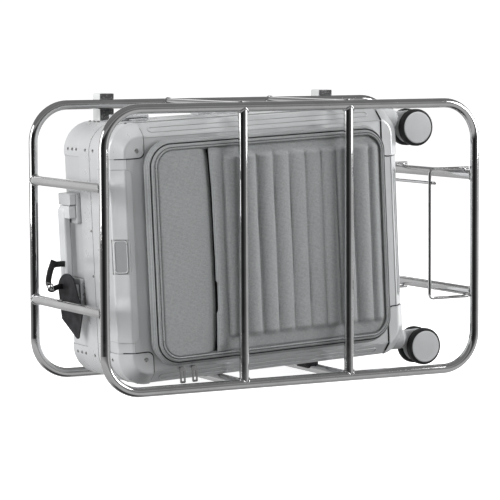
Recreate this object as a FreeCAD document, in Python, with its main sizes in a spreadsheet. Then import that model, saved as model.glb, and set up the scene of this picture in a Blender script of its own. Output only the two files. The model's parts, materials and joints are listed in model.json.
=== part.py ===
"""Chrome tube carrier holding a wheeled hard-shell cabin case, as separate pieces.

Millimetres, +Z up. The origin is on the floor at the centre of the whole outline.
X runs along the carrier, Y from its front bay to its rear, Z up.
The case lies on its long side in the carrier and is built in its own axes:
x along the case towards its wheels, y from its pocket to its back, z across its width.
"""
import FreeCAD
import Part
import os
import re
from FreeCAD import Placement, Rotation, Vector

SIZES = {
    # carrier tubes
    "tube_d": 14.4, "tube_wall": 1.5, "cage_w": 620, "cage_tall": 402, "cage_deep": 244.6,
    "bend_r": 55, "upright_x": 88.1, "cross_up": 291.6, "cross_low": 114.2,
    # end wires
    "wire_d": 4.8, "wire_bend": 7, "wire_x": 247, "wire_reach": 69.5, "wire_front": -95,
    "wire_rear": 82, "rod_up": 280, "rod_over": 8,
    # hook blocks on the rear top tube
    "hook_wide": 22.6, "hook_deep": 25, "hook_tall": 62, "hook_over": 16.5, "hook_x": 190,
    "hook_shift": 3, "hook_seat": 2, "pad_thick": 2.4, "stub": 20, "pad_half": 9, "pad_long": 34,
    # case body
    "case_long": 478, "case_wide": 374.5, "case_front": -88, "case_back": 97, "parting": -8,
    "outline_r": 42, "edge_r": 20, "bevel_in": 17.5, "bevel_r": 5, "wall": 2, "case_x": -33,
    "case_up": 207.1, "case_tilt": 2.5, "band": 36, "band_proud": 1.8, "seal": 1.2, "skin": 1.2,
    "cap_left": 47, "cap_right_in": 34, "cap_right_tall": 73,
    "panel_tall": 248, "panel_in": 26, "plate_tall": 50, "plate_in": 19,
    # fittings
    "rivet_r": 2.3, "rivet_proud": 1.1, "rivet_in": 37, "stem_r": 4, "fit_gap": 0.06,
    "grip_thick": 12, "grip_wide": 22, "grip_off": 7.5, "grip_end_r": 9.5, "carry_mid": 1,
    "carry_half": 67,
    "carry_rear": 75, "carry_front": 36, "stem_v": 56, "stem_in": 9, "lug": 18,
    "side_mid": 8, "side_half": 44, "side_rear": 54, "side_front": 34, "side_thick": 8, "side_off": 7,
    "latch_u": 165, "latch_long": 44, "latch_wide": 30, "latch_thick": 4, "latch_base": 3.2,
    "latch_pin": 1.5, "latch_pin_up": 3.2, "latch_pin_in": 8, "ear": 2.6,
    "hinge_u": 150, "hinge_long": 40, "hinge_r": 3.2,
    # telescopic handle
    "rod_half": 50, "rod_v": 86, "pull_rod_r": 5, "sleeve_r": 6.5, "sleeve_long": 400,
    "grip_half": 62, "pull_thick": 13.5, "pull_deep": 18, "bezel": 2.6,
    # casters
    "swivel_w": 167.6, "swivel_front": -59.5, "swivel_rear": 60, "trail": 15.4, "axle_out": 36.3,
    "wheel_r": 28, "hub_r": 24, "wheel_wide": 14, "web_thick": 11, "wheel_gap": 1, "axle_r": 3,
    "socket_r": 17, "socket_tall": 3.6, "neck_r": 12.5, "neck_tall": 3.4, "neck_lift": 0.3,
    "stem_swivel": 6, "eye_r": 12.5,
    # soft goods
    "pocket_long": 400, "pocket_wide": 327, "pocket_mid": 4, "pocket_up": 0.3, "pocket_front": -112,
    "pocket_r": 40, "pull_u": -156, "pull_gap": 19.5, "pull_long": 31, "pull_wide": 8.6,
    "pull_slot": 3.4,
    "tag_wide": 60, "tag_long": 81, "tag_thick": 3, "tag_top": 152, "tag_x": -297, "tag_y": 44,
    "tag_lean": 7.4, "tag_hang": 12, "tag_shoulder": 0.62, "slot_wide": 11, "slot_tall": 13,
    "strap_wide": 8, "strap_thick": 2.2, "strap_gap": 0.4, "strap_r": 17, "strap_w": -36,
}

doc = FreeCAD.newDocument("carrier")
sheet = doc.addObject("Spreadsheet::Sheet", "Sizes")
for row, (alias, number) in enumerate(SIZES.items(), start=1):
    sheet.set("A%d" % row, alias)
    sheet.set("B%d" % row, str(number))
    sheet.setAlias("B%d" % row, alias)
doc.recompute()

X_AXIS = Vector(1, 0, 0)
Y_AXIS = Vector(0, 1, 0)
Z_AXIS = Vector(0, 0, 1)
ALONG_X = Rotation(Y_AXIS, 90)
ALONG_Y = Rotation(X_AXIS, -90)
ALONG_Z = Rotation()
EAST, WEST = ALONG_X, Rotation(Y_AXIS, -90)
NORTH, SOUTH = ALONG_Y, Rotation(X_AXIS, 90)
UP, DOWN = ALONG_Z, Rotation(X_AXIS, 180)

pieces = {}


# ---------------------------------------------------------------- helpers
def size(alias):
    """The number in the sheet's cell of that name."""
    return float(sheet.get(alias))


def bind(obj, prop, value):
    """Tie a property to an expression of the sheet's names, or set a plain number."""
    named = re.sub(r"[a-z_]+", lambda m: "Sizes." + m.group() if m.group() in SIZES else m.group(),
                   str(value))
    obj.setExpression(prop, named)


def prim(kind, at=(0, 0, 0), turn=ALONG_Z, **sizes):
    """A Part primitive with every size and its position bound to the sheet."""
    obj = doc.addObject("Part::" + kind, "Raw" + kind)
    obj.Placement = Placement(Vector(), turn)
    for axis, value in zip("xyz", at):
        bind(obj, "Placement.Base." + axis, value)
    for prop, value in sizes.items():
        bind(obj, prop, value)
    return obj


def rod(at, length, radius, turn=ALONG_Z):
    return prim("Cylinder", at, turn, Radius=radius, Height=length)


def block(low, high):
    """A box between two corners given as expressions."""
    spans = ["(%s) - (%s)" % (b, a) for a, b in zip(low, high)]
    return prim("Box", low, Length=spans[0], Width=spans[1], Height=spans[2])


def fuse(*shapes):
    obj = doc.addObject("Part::MultiFuse", "RawFuse")
    obj.Shapes = list(shapes)
    obj.Refine = True
    return obj


def cut(base, *tools):
    obj = doc.addObject("Part::Cut", "RawCut")
    obj.Base = base
    obj.Tool = tools[0] if len(tools) == 1 else fuse(*tools)
    return obj


def common(*shapes):
    obj = doc.addObject("Part::MultiCommon", "RawCommon")
    obj.Shapes = list(shapes)
    return obj


def group(*shapes):
    obj = doc.addObject("Part::Compound", "RawGroup")
    obj.Links = list(shapes)
    return obj


def fillet(base, radius, pick):
    """Round the edges that pick(edge) chooses."""
    doc.recompute()
    edges = [(n, radius, radius) for n, edge in enumerate(base.Shape.Edges, start=1) if pick(edge)]
    obj = doc.addObject("Part::Fillet", "RawFillet")
    obj.Base = base
    obj.Edges = edges
    return obj


def bevel(base, width, pick):
    """Cut the edges that pick(edge) chooses to an even bevel."""
    doc.recompute()
    edges = [(n, width, width) for n, edge in enumerate(base.Shape.Edges, start=1) if pick(edge)]
    obj = doc.addObject("Part::Chamfer", "RawBevel")
    obj.Base = base
    obj.Edges = edges
    return obj


def runs_along(axis):
    """Chooses straight edges parallel to one axis."""
    def pick(edge):
        if edge.Curve.TypeId != "Part::GeomLine":
            return False
        return abs(edge.tangentAt(edge.FirstParameter).dot(axis)) > 0.999
    return pick


def lies_at(axis, place):
    """Chooses edges that lie whole in a plane across one axis."""
    def pick(edge):
        box = edge.BoundBox
        low = Vector(box.XMin, box.YMin, box.ZMin).dot(axis)
        high = Vector(box.XMax, box.YMax, box.ZMax).dot(axis)
        return abs(low - place) < 0.01 and abs(high - place) < 0.01
    return pick


def keep(label, obj, frame):
    """Name a finished piece and stand it in the carrier's or the case's axes."""
    obj.Label = label
    obj.Placement = frame
    pieces[label] = obj


# ---------------------------------------------------------------- frames
# The outline reaches from the tag's strap to the right tubes, and from the front
# tubes to the hook blocks: the origin is midway between both pairs.
TILT = Rotation(Vector(0, -1, 0), size("case_tilt"))
grip_reach = size("grip_off") + size("grip_thick")
loop_u = -(size("case_long") / 2 + grip_reach + size("strap_gap") + size("strap_r"))
STRAP_REACH = size("strap_r") - size("case_x") - TILT.multVec(Vector(loop_u, 0, size("strap_w"))).x
HOOK_REACH = size("cage_deep") / 2 + size("tube_d") / 2 - size("hook_seat") + size("hook_deep")
SHIFT_X = (STRAP_REACH - size("cage_w") / 2 - size("tube_d") / 2) / 2
SHIFT_Y = -(HOOK_REACH - size("cage_deep") / 2 - size("tube_d") / 2) / 2
CAGE = Placement(Vector(SHIFT_X, SHIFT_Y, size("tube_d") / 2), Rotation())
CASE = Placement(Vector(SHIFT_X + size("case_x"), SHIFT_Y, size("case_up")), TILT)


# ---------------------------------------------------------------- carrier tubes
# Heights of the carrier's pieces count from the centre line of its bottom tubes.
def loop(y, radius):
    """A closed rectangular ring of round bar with bent corners."""
    shapes = []
    for sx, sz, start in ((1, 1, 0), (-1, 1, 90), (-1, -1, 180), (1, -1, 270)):
        centre = ("%d*(cage_w/2 - bend_r)" % sx, y, "cage_tall/2 + %d*(cage_tall/2 - bend_r)" % sz)
        turn = Rotation(X_AXIS, 90).multiply(Rotation(Z_AXIS, start))
        shapes.append(prim("Torus", centre, turn, Radius1="bend_r", Radius2=radius, Angle3="90"))
    for z in ("0", "cage_tall"):
        shapes.append(rod(("bend_r - cage_w/2", y, z), "cage_w - 2*bend_r", radius, ALONG_X))
    for x in ("-cage_w/2", "cage_w/2"):
        shapes.append(rod((x, y, "bend_r"), "cage_tall - 2*bend_r", radius))
    return fuse(*shapes)


def pipe(at, length, turn):
    """A straight tube, with its bore. Its ends are then cut to the bars that it is welded to."""
    outer = rod(at, length, "tube_d/2", turn)
    return cut(outer, rod(at, length, "tube_d/2 - tube_wall", turn))


for name, y in (("front", "-cage_deep/2"), ("rear", "cage_deep/2")):
    ring = cut(loop(y, "tube_d/2"), loop(y, "tube_d/2 - tube_wall"))
    keep(name + "_loop_tube", ring, CAGE)

for name, x in (("left", "-upright_x"), ("right", "upright_x")):
    bars = [rod((x + " - stub", "-cage_deep/2", z), "2*stub", "tube_d/2", ALONG_X) for z in ("0", "cage_tall")]
    tube = pipe((x, "-cage_deep/2", "0"), "cage_tall", ALONG_Z)
    keep("front_upright_" + name, cut(tube, *bars), CAGE)
    for level, z in (("top", "cage_tall"), ("bottom", "0")):
        bars = [rod((x + " - stub", y, z), "2*stub", "tube_d/2", ALONG_X)
                for y in ("-cage_deep/2", "cage_deep/2")]
        bars.append(rod((x, "-cage_deep/2", "0"), "cage_tall", "tube_d/2"))
        tube = pipe((x, "-cage_deep/2", z), "cage_deep", ALONG_Y)
        keep("tie_tube_%s_%s" % (level, name), cut(tube, *bars), CAGE)

for name, x in (("left", "-cage_w/2"), ("right", "cage_w/2")):
    for level, z in (("upper", "cross_up"), ("lower", "cross_low")):
        bars = [rod((x, y, z + " - stub"), "2*stub", "tube_d/2") for y in ("-cage_deep/2", "cage_deep/2")]
        tube = pipe((x, "-cage_deep/2", z), "cage_deep", ALONG_Y)
        keep("cross_tube_%s_%s" % (name, level), cut(tube, *bars), CAGE)

# ---------------------------------------------------------------- end wires
# Each wire is a U whose legs lie over the upper cross tube and under the lower one.
WIRE_TOP = "cross_up + tube_d/2 + wire_d/2"
WIRE_LOW = "cross_low - tube_d/2 - wire_d/2"


def end_wire(y):
    legs = [rod(("wire_x + wire_bend", y, z), "wire_reach - wire_bend", "wire_d/2", ALONG_X)
            for z in (WIRE_TOP, WIRE_LOW)]
    back = rod(("wire_x", y, WIRE_LOW + " + wire_bend"),
               "(%s) - (%s) - 2*wire_bend" % (WIRE_TOP, WIRE_LOW), "wire_d/2")
    bends = []
    for z, sign, start in ((WIRE_TOP, "-", 90), (WIRE_LOW, "+", 180)):
        turn = Rotation(X_AXIS, 90).multiply(Rotation(Z_AXIS, start))
        bends.append(prim("Torus", ("wire_x + wire_bend", y, z + sign + "wire_bend"), turn,
                          Radius1="wire_bend", Radius2="wire_d/2", Angle3="90"))
    return fuse(back, *legs, *bends)


for name, y in (("front", "wire_front"), ("rear", "wire_rear")):
    keep("end_wire_" + name, end_wire(y), CAGE)
bar = rod(("wire_x + wire_d", "wire_front - rod_over", "rod_up"),
          "wire_rear - wire_front + 2*rod_over", "wire_d/2", ALONG_Y)
keep("end_wire_rod", fillet(bar, 0.8, lambda edge: edge.Curve.TypeId == "Part::GeomCircle"), CAGE)

# ---------------------------------------------------------------- hook blocks
HOOK_FACE = "cage_deep/2 + tube_d/2 - hook_seat"
pads = []
for name, sign in (("left", "-"), ("right", "")):
    x = "%shook_x + hook_shift" % sign
    body = block((x + " - hook_wide/2", HOOK_FACE, "cage_tall + hook_over - hook_tall"),
                 (x + " + hook_wide/2", HOOK_FACE + " + hook_deep", "cage_tall + hook_over"))
    body = fillet(body, 2.0, runs_along(Y_AXIS))
    saddle = rod((x + " - hook_wide", "cage_deep/2", "cage_tall"), "2*hook_wide", "tube_d/2", ALONG_X)
    keep("hook_block_" + name, cut(body, saddle), CAGE)
    for low, high in (("cage_tall + tube_d/2 + 0.6", "cage_tall + hook_over - 1"),
                      ("cage_tall + hook_over - hook_tall + 1", "cage_tall - tube_d/2 - 0.6")):
        pads.append(block((x + " - hook_wide/2 + 0.6", HOOK_FACE + " - pad_thick", low),
                          (x + " + hook_wide/2 - 0.6", HOOK_FACE, high)))
keep("hook_pads", group(*pads), CAGE)


# ---------------------------------------------------------------- case shells
# From here on, x, y and z are the case's own axes.
def prism(front, back, grow, beveled=False, back_r=None):
    """The case's outline between two depths, grown all round, with a bevel or a round at a face."""
    body = block(("-case_long/2 - %s" % grow, front, "-case_wide/2 - %s" % grow),
                 ("case_long/2 + %s" % grow, back, "case_wide/2 + %s" % grow))
    body = fillet(body, size("outline_r") + (size(grow) if grow in SIZES else float(grow)),
                  runs_along(Y_AXIS))
    if beveled:
        doc.recompute()
        face = body.Shape.BoundBox.YMin
        body = bevel(body, size("bevel_in"), lies_at(Y_AXIS, face))
        body = fillet(body, size("bevel_r"), lies_at(Y_AXIS, face + size("bevel_in")))
        body = fillet(body, size("bevel_r"), lies_at(Y_AXIS, face))
    if back_r:
        doc.recompute()
        body = fillet(body, back_r, lies_at(Y_AXIS, body.Shape.BoundBox.YMax))
    return body


FRONT_EDGE = "parting - seal/2"
BACK_EDGE = "parting + seal/2"
front_outer = prism("case_front", FRONT_EDGE, "0", beveled=True)
front_inner = prism("case_front + wall", FRONT_EDGE, "-2", beveled=True)
back_outer = prism(BACK_EDGE, "case_back", "0", back_r=size("edge_r"))
back_inner = prism(BACK_EDGE, "case_back - wall", "-2", back_r=size("edge_r") - 2)
front_skin = prism("case_front - skin", FRONT_EDGE, "skin", beveled=True)
back_skin = prism(BACK_EDGE, "case_back + skin", "skin", back_r=size("edge_r") + size("skin"))

# The front shell carries a raised panel round its handle end, with a blank recess in it.
panel_zone = block(("-case_long/2 - 5", "case_front - 5", "-panel_tall/2"),
                   ("-case_long/2 + panel_in", "parting - band - 4", "panel_tall/2"))
plate_zone = block(("-case_long/2 - 6", "case_front - 6", "-plate_tall/2"),
                   ("-case_long/2 + plate_in", "case_front + edge_r - 1", "plate_tall/2"))
panel_zone = fillet(panel_zone, 8.0, runs_along(Y_AXIS))
plate_zone = fillet(plate_zone, 4.0, runs_along(Y_AXIS))
raised = cut(common(front_skin, panel_zone), plate_zone)
pull_slot = block(("-case_long/2 - 4", "rod_v - pull_thick/2 - bezel", "-grip_half - bezel"),
                  ("-case_long/2 + pull_deep + bezel + 4", "case_back + 3", "grip_half + bezel"))
stem_holes = [rod(("-case_long/2 - 3", "stem_v", z), "12", "stem_r + 2.2", ALONG_X)
              for z in ("carry_mid + carry_half - stem_in", "carry_mid - carry_half + stem_in")]
side_holes = [rod((x, "side_front + 10", "case_wide/2 - 8"), "14", "stem_r + 2.2")
              for x in ("side_mid + side_half - 8", "side_mid - side_half + 8")]
keep("front_shell", fuse(cut(front_outer, front_inner), cut(raised, front_outer)), CASE)
keep("back_shell", cut(back_outer, back_inner, pull_slot, *stem_holes, *side_holes), CASE)

# ---------------------------------------------------------------- frame bands, seal, corner caps
front_band = prism("parting - band", FRONT_EDGE, "band_proud")
back_band = prism(BACK_EDGE, "parting + band", "band_proud")
hinge_zone = [block((x + " - hinge_long/2 - 1", "parting - 4.5", "-case_wide/2 - 8"),
                    (x + " + hinge_long/2 + 1", "parting + 4.5", "-case_wide/2"))
              for x in ("-hinge_u", "hinge_u")]
keep("front_frame", cut(front_band, prism("parting - band - 1", "parting", "0"), *hinge_zone), CASE)
keep("back_frame", cut(back_band, prism("parting", "parting + band + 1", "0"), *hinge_zone), CASE)
seal_ring = prism(FRONT_EDGE, BACK_EDGE, "1.6")
keep("frame_gasket", cut(seal_ring, prism("parting - 5", "parting + 5", "-2"), *hinge_zone), CASE)


def corner_caps(skin, shell, near, far):
    """Four caps that wrap the shell's corners; the two at the wheels are narrow and tall."""
    caps = []
    for sx, sz in ((1, 1), (1, -1), (-1, 1), (-1, -1)):
        along, across = ("cap_right_in", "cap_right_tall") if sx > 0 else ("cap_left", "cap_left")
        low = ["case_long/2 - " + along, near, "case_wide/2 - " + across]
        high = ["case_long/2 + 9", far, "case_wide/2 + 9"]
        if sx < 0:
            low[0], high[0] = "-(%s)" % high[0], "-(%s)" % low[0]
        if sz < 0:
            low[2], high[2] = "-(%s)" % high[2], "-(%s)" % low[2]
        zone = fillet(block(low, high), 9.0, runs_along(Y_AXIS))
        caps.append(cut(common(skin, zone), shell))
    return group(*caps)


keep("corner_caps_front", corner_caps(front_skin, front_outer, "case_front - 9", "parting - band"), CASE)
keep("corner_caps_back", corner_caps(back_skin, back_outer, "parting + band", "case_back + 9"), CASE)


# ---------------------------------------------------------------- rivets
def rivet(at, turn, scale=1):
    """A low domed rivet head that stands on the surface at that point."""
    return prim("Cone", at, turn, Radius1="rivet_r*%s" % scale, Radius2="rivet_r*0.55*%s" % scale,
                Height="rivet_proud")


rivets = []
BACK_ROW = ("case_back - 31", "case_back - 46", "case_back - 60")
SIDE_ROW = BACK_ROW + ("case_front + 34",)
for sx, end_turn in ((-1, WEST), (1, EAST)):
    # The narrow caps at the wheels have their side rows nearer to the case's end.
    inset = "rivet_in" if sx < 0 else "rivet_in - 11"
    for sz, side_turn in ((-1, DOWN), (1, UP)):
        end_w = "%d*(case_wide/2 - rivet_in)" % sz
        side_u = "%d*(case_long/2 - (%s))" % (sx, inset)
        for depth in SIDE_ROW if sx < 0 else BACK_ROW[-1:]:
            rivets.append(rivet(("%d*(case_long/2 + skin)" % sx, depth, end_w), end_turn))
        for depth in SIDE_ROW:
            rivets.append(rivet((side_u, depth, "%d*(case_wide/2 + skin)" % sz), side_turn))
        for depth in ("parting + 13", "parting - 13"):
            rivets.append(rivet(("%d*(case_long/2 + band_proud)" % sx, depth, end_w), end_turn))
            rivets.append(rivet((side_u, depth, "%d*(case_wide/2 + band_proud)" % sz), side_turn))
        if sx < 0:
            rivets.append(rivet(("36 - case_long/2", "case_front - skin", "%d*(case_wide/2 - rivet_in)" % sz),
                                SOUTH, 1.5))
        rivets.append(rivet((side_u, "case_back + skin", end_w), NORTH, 1.5))
        rivets.append(rivet(("%d*(case_long/2 + band_proud)" % sx, "parting + 4", "%d*33" % sz), end_turn))
keep("case_rivets", group(*rivets), CASE)

# ---------------------------------------------------------------- hinges under the case
knuckles = []
for x in ("-hinge_u", "hinge_u"):
    barrel = rod((x + " - hinge_long/2", "parting", "-case_wide/2 - 2.2"), "hinge_long", "hinge_r", ALONG_X)
    bore = rod((x + " - hinge_long/2", "parting", "-case_wide/2 - 2.2"), "hinge_long", "hinge_r/2", ALONG_X)
    zone = prism("parting - 9", "parting + 9", "0")
    slots = [block((x + " - hinge_long/2 + %d" % n, "parting - 5", "-case_wide/2 - 8"),
                   (x + " - hinge_long/2 + %s" % (n + 0.5), "parting + 5", "-case_wide/2")) for n in (13, 26)]
    knuckles.append(cut(barrel, bore, zone, *slots))
    knuckles.append(rod((x + " - hinge_long/2 - 0.8", "parting", "-case_wide/2 - 2.2"),
                        "hinge_long + 1.6", "hinge_r/2", ALONG_X))
keep("case_hinges", group(*knuckles), CASE)

# ---------------------------------------------------------------- latches on top
bases = []
for name, sign in (("left", "-"), ("right", "")):
    x = sign + "latch_u"
    top = "case_wide/2 + band_proud"
    plate = block((x + " - latch_long/2 - 3", "parting + 1", top),
                  (x + " + latch_long/2 + 3", "parting + band", top + " + latch_base"))
    plate = fillet(plate, 3.0, runs_along(Z_AXIS))
    catch = block((x + " - 10", "parting - 22", top), (x + " + 10", "parting - 2", top + " + latch_base - 0.4"))
    pin_v, pin_w = "parting + band - latch_pin_in", top + " + latch_base + latch_pin_up"
    ears = [block((x + " %s (latch_long/2 + ear) - ear/2" % s, "parting + band - 12", top + " + latch_base"),
                  (x + " %s (latch_long/2 + ear) + ear/2" % s, "parting + band - 4", top + " + latch_base + 6"))
            for s in ("-", "+")]
    pin = rod((x + " - latch_long/2 - 1.5*ear", pin_v, pin_w), "latch_long + 3*ear", "latch_pin", ALONG_X)
    bases += [fuse(plate, *ears, pin), catch]
    lever = block((x + " - latch_long/2", pin_v + " - latch_wide", top + " + latch_base + 0.4"),
                  (x + " + latch_long/2", pin_v + " + 1.8", top + " + latch_base + 0.4 + latch_thick"))
    lever = fillet(lever, 1.5, runs_along(X_AXIS))
    boss = rod((x + " - latch_long/2", pin_v, pin_w), "latch_long", "latch_pin + 1.25", ALONG_X)
    bore = rod((x + " - latch_long/2 - 1", pin_v, pin_w), "latch_long + 2", "latch_pin + fit_gap", ALONG_X)
    keep("latch_lever_" + name, cut(fuse(lever, boss), bore), CASE)
keep("latch_bases", group(*bases), CASE)

# ---------------------------------------------------------------- carry handle and side handle
END = "-case_long/2"
brackets = []
grip = block((END + " - grip_off - grip_thick", "carry_rear - grip_wide", "carry_mid - carry_half"),
             (END + " - grip_off", "carry_rear", "carry_mid + carry_half"))
outer_face = -size("case_long") / 2 - size("grip_off") - size("grip_thick")
ends_up = runs_along(Y_AXIS)
grip = fillet(grip, size("grip_end_r"),
              lambda edge: ends_up(edge) and abs(edge.BoundBox.XMin - outer_face) < 0.01)
for side in (size("carry_rear"), size("carry_rear") - size("grip_wide")):
    grip = fillet(grip, 3.5, lies_at(Y_AXIS, side))
lugs = []
for sign in ("+", "-"):
    z = "carry_mid %s carry_half" % sign
    near, far = ("- lug", "") if sign == "+" else ("", "+ lug")
    lugs.append(block((END + " - grip_off - 10", "carry_front", z + near),
                      (END + " - grip_off", "carry_rear - 6", z + far)))
    centre = z + (" - stem_in" if sign == "+" else " + stem_in")
    lugs.append(rod((END + " - grip_off", "stem_v", centre), "16", "stem_r", ALONG_X))
    low, high = ("- lug - 8", "+ lug") if sign == "+" else ("- lug", "+ lug + 8")
    plate = block((END + " - grip_off + 0.6", "carry_front - 4", z + low),
                  (END, "carry_rear + 1", z + high))
    plate = fillet(plate, 3.0, runs_along(X_AXIS))
    step_low, step_high = ("+ 0.8", "+ lug") if sign == "+" else ("- lug", "- 0.8")
    riser = block((END + " - grip_off - 9", "carry_front - 2", z + step_low),
                  (END + " - 1", "carry_rear - 1", z + step_high))
    riser = fillet(riser, 2.5, runs_along(X_AXIS))
    boss = rod((END, "stem_v", centre), "14", "stem_r + 2", ALONG_X)
    bore = rod((END + " - 20", "stem_v", centre), "36", "stem_r + fit_gap", ALONG_X)
    brackets.append(cut(fuse(plate, riser, boss), bore))
keep("carry_handle", fuse(grip, *lugs), CASE)

TOP = "case_wide/2"
grip = block(("side_mid - side_half", "side_front", TOP + " + side_off"),
             ("side_mid + side_half", "side_rear", TOP + " + side_off + side_thick"))
grip = fillet(grip, 4.0, runs_along(Z_AXIS))
stems = []
for sign in ("+", "-"):
    x = "side_mid %s side_half %s 8" % (sign, "-" if sign == "+" else "+")
    stems.append(rod((x, "side_front + 10", TOP + " - 10"), "side_off + 10", "stem_r"))
    plate = fillet(block((x + " - 13", "side_front - 4", TOP + " + band_proud"),
                         (x + " + 13", "side_rear + 4", TOP + " + side_off - 0.6")), 3.0, runs_along(Z_AXIS))
    boss = rod((x, "side_front + 10", TOP + " - 9"), "band_proud + 10", "stem_r + 2")
    bore = rod((x, "side_front + 10", TOP + " - 20"), "40", "stem_r + fit_gap")
    brackets.append(cut(fuse(plate, boss), bore))
keep("side_handle", fuse(grip, *stems), CASE)
keep("handle_brackets", group(*brackets), CASE)

# ---------------------------------------------------------------- telescopic handle
GRIP_FACE = "-case_long/2 - 1.5"
housing = block((GRIP_FACE, "rod_v - pull_thick/2 - bezel", "-grip_half - bezel"),
                ("-case_long/2 + pull_deep + bezel + 4", "rod_v + pull_thick/2 + bezel", "grip_half + bezel"))
hollow = block((GRIP_FACE + " - 1", "rod_v - pull_thick/2 - 0.5", "-grip_half - 0.5"),
               (GRIP_FACE + " + pull_deep + 1", "rod_v + pull_thick/2 + 0.5", "grip_half + 0.5"))
housing = fillet(housing, 2.2, runs_along(X_AXIS))
ends = ("-rod_half", "rod_half")
sleeves = [rod((GRIP_FACE + " + pull_deep + 1", "rod_v", z), "sleeve_long", "sleeve_r", ALONG_X) for z in ends]
bores = [rod((GRIP_FACE + " + pull_deep - 1", "rod_v", z), "sleeve_long + 1", "pull_rod_r + fit_gap", ALONG_X)
         for z in ends]
keep("trolley_sleeves", cut(fuse(cut(housing, hollow), *sleeves), *bores), CASE)
rods = [rod((GRIP_FACE + " + pull_deep", "rod_v", z), "sleeve_long - 6", "pull_rod_r", ALONG_X) for z in ends]
keep("trolley_rods", group(*rods), CASE)
grip = block((GRIP_FACE, "rod_v - pull_thick/2", "-grip_half"),
             (GRIP_FACE + " + pull_deep", "rod_v + pull_thick/2", "grip_half"))
grip = fillet(grip, 3.0, runs_along(X_AXIS))
well = block((GRIP_FACE + " - 1", "rod_v - 3.5", "-13"), (GRIP_FACE + " + 5", "rod_v + 3.5", "13"))
keep("trolley_grip", cut(grip, well), CASE)
button = block((GRIP_FACE + " - 0.9", "rod_v - 3.1", "-12.6"),
               (GRIP_FACE + " + 2", "rod_v + 3.1", "12.6"))
keep("trolley_button", fillet(button, 1.6, runs_along(X_AXIS)), CASE)

# ---------------------------------------------------------------- casters
# Each caster is built hanging down from its swivel axis. At rest the front pair hangs
# down and the rear pair is turned to trail towards the back.
FACE = "case_long/2"
sockets = []
for level, w in (("upper", "swivel_w"), ("lower", "-swivel_w")):
    for side, v in (("front", "swivel_front"), ("rear", "swivel_rear")):
        name = "%s_%s" % (side, level)
        swung = CASE
        if side == "rear":
            pivot = Vector(0, size("swivel_rear"), size("swivel_w") * (1 if level == "upper" else -1))
            swung = CASE.multiply(Placement(Vector(), Rotation(X_AXIS, 90), pivot))
        axle_u = FACE + " + axle_out"
        axle_w = w + " - trail"
        flange = prim("Cone", (FACE, v, w), ALONG_X, Radius1="socket_r", Radius2="socket_r - 2",
                      Height="socket_tall")
        root = rod((FACE + " - outline_r/2", v, w), "outline_r/2", "socket_r", ALONG_X)
        shell, band = (front_skin, front_band) if side == "front" else (back_skin, back_band)
        sockets.append(cut(fuse(flange, root), shell, band,
                           rod((FACE + " - outline_r", v, w), "2*outline_r", "stem_swivel + fit_gap", ALONG_X)))
        # The fork: a stem in the socket, a round bearing housing and a web between the wheels.
        neck_u = FACE + " + socket_tall + neck_lift"
        stem = rod((FACE + " + 0.8", v, w), "socket_tall + neck_lift + 1", "stem_swivel", ALONG_X)
        neck = rod((neck_u, v, w), "neck_tall", "neck_r", ALONG_X)
        eye = rod((axle_u, v + " - web_thick/2", axle_w), "web_thick", "eye_r", ALONG_Y)
        arm = block((neck_u + " + neck_tall/2", v + " - web_thick/2", axle_w + " - 2"),
                    (axle_u + " + 6", v + " + web_thick/2", w + " + neck_r - 2.5"))
        hole = rod((axle_u, v + " - web_thick", axle_w), "2*web_thick", "axle_r", ALONG_Y)
        arm = fillet(arm, 3.0, runs_along(Y_AXIS))
        keep("caster_fork_" + name, cut(fuse(stem, neck, arm, eye), hole), swung)
        axle = rod((axle_u, v + " - web_thick/2 - wheel_gap - wheel_wide + 3", axle_w),
                   "web_thick + 2*wheel_gap + 2*wheel_wide - 6", "axle_r", ALONG_Y)
        keep("caster_axle_" + name, group(axle), swung)
        hubs, tyres = [], []
        for low, bore_low in ((v + " - web_thick/2 - wheel_gap - wheel_wide", " + 2.6"),
                              (v + " + web_thick/2 + wheel_gap", " - 1")):
            disc = rod((axle_u, low, axle_w), "wheel_wide", "hub_r", ALONG_Y)
            disc = fillet(disc, 1.5, lambda edge: edge.Curve.TypeId == "Part::GeomCircle")
            bore = rod((axle_u, low + bore_low, axle_w), "wheel_wide - 1.6", "axle_r + fit_gap", ALONG_Y)
            hubs.append(cut(disc, bore))
            ring = rod((axle_u, low + " + 0.8", axle_w), "wheel_wide - 1.6", "wheel_r", ALONG_Y)
            ring = fillet(ring, 3.2, lambda edge: edge.Curve.TypeId == "Part::GeomCircle")
            tyres.append(cut(ring, rod((axle_u, low, axle_w), "wheel_wide", "hub_r", ALONG_Y)))
        keep("caster_hubs_" + name, group(*hubs), swung)
        keep("caster_tyres_" + name, group(*tyres), swung)
keep("caster_sockets", group(*sockets), CASE)

# ---------------------------------------------------------------- pocket and zip pulls
POCKET_LOW = "pocket_up - pocket_wide/2"
pouch = block(("pocket_mid - pocket_long/2", "pocket_front", POCKET_LOW),
              ("pocket_mid + pocket_long/2", "case_front - skin - 0.1", "pocket_up + pocket_wide/2"))
pouch = fillet(pouch, size("pocket_r"), runs_along(Y_AXIS))
keep("front_pocket", fillet(pouch, 9.0, lies_at(Y_AXIS, size("pocket_front"))), CASE)

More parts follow.
